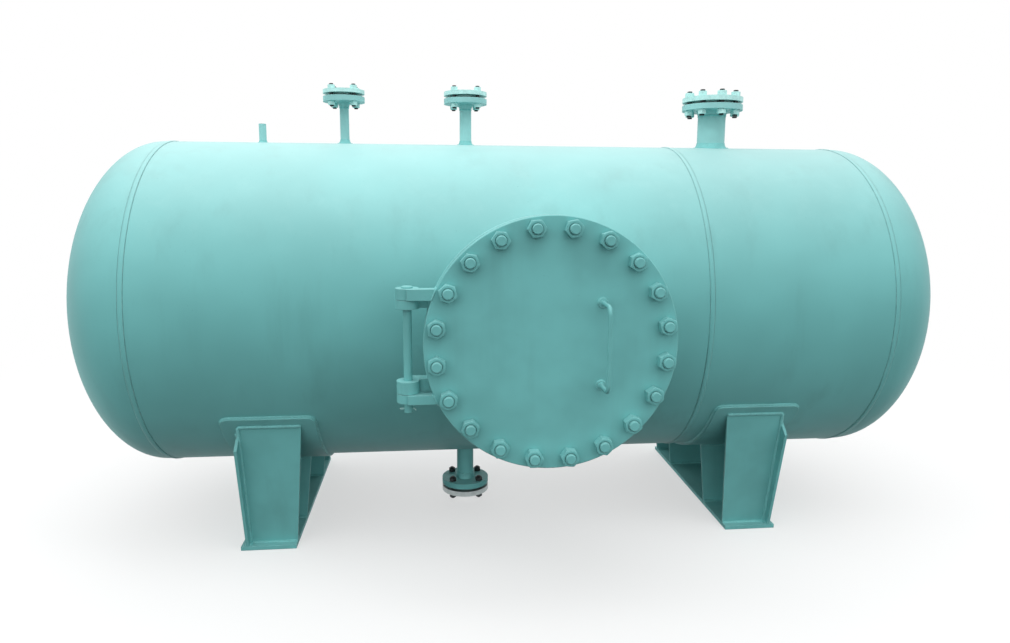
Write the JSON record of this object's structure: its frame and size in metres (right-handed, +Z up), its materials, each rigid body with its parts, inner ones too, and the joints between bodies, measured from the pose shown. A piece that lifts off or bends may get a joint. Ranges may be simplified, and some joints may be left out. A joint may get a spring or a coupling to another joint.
{
  "type": "horizontal pressure vessel on saddles",
  "caption": "Horizontal welded steel pressure vessel with dished heads, on two saddles, with flanged nozzles and a hinged, bolted front manway.",
  "frame": {"origin": "centre of the fixed saddle's two anchor holes, on the underside of its base plate, at floor level", "axes": "+X along the vessel towards the sliding saddle, +Z up; the manway looks towards -Y"},
  "size_m": [3.177, 1.636, 1.6275],
  "materials": {
    "paint_shell": "teal topcoat over steel plate, light orange peel",
    "paint_fittings": "teal topcoat over forged and rolled steel",
    "gasket": "dark spiral-wound gasket edge",
    "bare_steel": "bare machined steel"
  },
  "bodies": {
    "vessel": {"shell_course_long": "paint_shell", "shell_course_short": "paint_shell", "head_left": "paint_shell", "head_right": "paint_shell", "girth_welds": "paint_shell", "manway_neck": "paint_fittings", "manway_flange": "paint_fittings", "fixed_lug_upper": "paint_fittings", "fixed_lug_lower": "paint_fittings", "hinge_pin": "paint_fittings", "top_stub": "paint_fittings", "manway_gasket": "gasket", "vent_neck": "paint_fittings", "vent_flange": "paint_fittings", "vent_gasket": "gasket", "vent_blind": "bare_steel", "inlet_neck": "paint_fittings", "inlet_flange": "paint_fittings", "inlet_gasket": "gasket", "inlet_blind": "bare_steel", "outlet_neck": "paint_fittings", "outlet_flange": "paint_fittings", "outlet_gasket": "gasket", "outlet_blind": "bare_steel", "drain_neck": "paint_fittings", "drain_flange": "paint_fittings", "drain_gasket": "gasket", "drain_blind": "bare_steel", "fixed_saddle_wear_plate": "paint_fittings", "fixed_saddle_base_plate": "paint_fittings", "fixed_saddle_web": "paint_fittings", "fixed_saddle_ribs": "paint_fittings", "sliding_saddle_wear_plate": "paint_fittings", "sliding_saddle_base_plate": "paint_fittings", "sliding_saddle_web": "paint_fittings", "sliding_saddle_ribs": "paint_fittings"},
    "manway_door": {"manway_cover": "paint_fittings", "cover_handle": "paint_fittings", "cover_lug_upper": "paint_fittings", "cover_lug_lower": "paint_fittings"}
  },
  "joints": [
    {"name": "manway_hinge", "type": "hinge", "parent": "vessel", "child": "manway_door", "pos_m": [0.512, -0.9013, 0.828], "axis": [0, 0, -1], "range_deg": [0, 120]}
  ]
}
